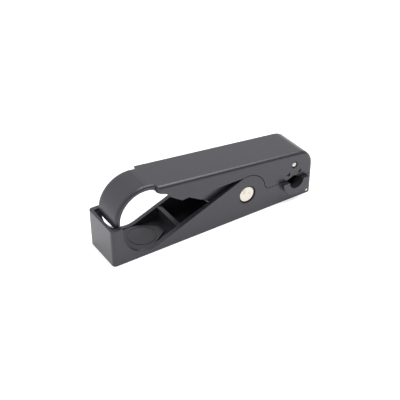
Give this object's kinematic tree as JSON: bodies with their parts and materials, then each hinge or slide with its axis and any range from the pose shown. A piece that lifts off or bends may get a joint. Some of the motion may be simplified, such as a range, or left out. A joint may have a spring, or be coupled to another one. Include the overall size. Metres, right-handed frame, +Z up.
{
  "type": "coaxial cable stripper",
  "caption": "Rotary coaxial cable stripper: a moulded tray with a blade cassette and a half-round cable guide, under a sprung lever with a finger loop and a vee block.",
  "frame": {"origin": "centre of the flat base, on the mid-plane between the two sides", "axes": "+X along the tool from the finger loop to the blade end, -Y towards the side with the cable guide, +Z up from the base"},
  "size_m": [0.102, 0.0226, 0.0316],
  "materials": {
    "moulded_black": "fine moulded texture",
    "inner_black": "moulded",
    "pin_steel": "turned and polished",
    "spring_steel": "drawn wire",
    "dark_steel": "black oxide",
    "blade_steel": "ground"
  },
  "bodies": {
    "tray": {"lower_body": "moulded_black", "pivot_pin": "pin_steel", "return_spring": "spring_steel", "blade_cassette": "inner_black", "cassette_pin": "pin_steel"},
    "lever": {"lever": "moulded_black", "v_block": "inner_black", "v_block_pin": "pin_steel", "locating_pin_left": "dark_steel", "locating_pin_right": "dark_steel"},
    "jacket_blade": {"jacket_blade": "blade_steel"},
    "braid_blade": {"braid_blade": "blade_steel"},
    "core_blade": {"core_blade": "blade_steel"},
    "jacket_screw": {"jacket_screw": "dark_steel"},
    "braid_screw": {"braid_screw": "dark_steel"},
    "core_screw": {"core_screw": "dark_steel"}
  },
  "joints": [
    {"name": "lever_squeeze", "type": "hinge", "parent": "tray", "child": "lever", "pos_m": [0.0152, 0, 0.0111], "axis": [0, -1, 0], "range_deg": [0, 11.5], "stiffness_Nm_per_rad": 2.6, "springref_deg": -5.5, "deforming": ["return_spring"]},
    {"name": "jacket_set", "type": "slide", "parent": "tray", "child": "jacket_blade", "axis": [0, 0, 1], "range_m": [-0.0005, 0.0005]},
    {"name": "braid_set", "type": "slide", "parent": "tray", "child": "braid_blade", "axis": [0, 0, 1], "range_m": [-0.0005, 0.0005]},
    {"name": "core_set", "type": "slide", "parent": "tray", "child": "core_blade", "axis": [0, 0, 1], "range_m": [-0.0005, 0.0005]},
    {"name": "jacket_turn", "type": "hinge", "parent": "jacket_blade", "child": "jacket_screw", "pos_m": [0.04065, -0.004, 0.0009], "axis": [0, 0, 1], "range_deg": [-360, 360]},
    {"name": "braid_turn", "type": "hinge", "parent": "braid_blade", "child": "braid_screw", "pos_m": [0.04065, 0, 0.0009], "axis": [0, 0, 1], "range_deg": [-360, 360]},
    {"name": "core_turn", "type": "hinge", "parent": "core_blade", "child": "core_screw", "pos_m": [0.04065, 0.004, 0.0009], "axis": [0, 0, 1], "range_deg": [-360, 360]}
  ],
  "couplings": [
    {"joint": "jacket_turn", "follows": "jacket_set", "rad_per_m": 12566},
    {"joint": "braid_turn", "follows": "braid_set", "rad_per_m": 12566},
    {"joint": "core_turn", "follows": "core_set", "rad_per_m": 12566}
  ]
}
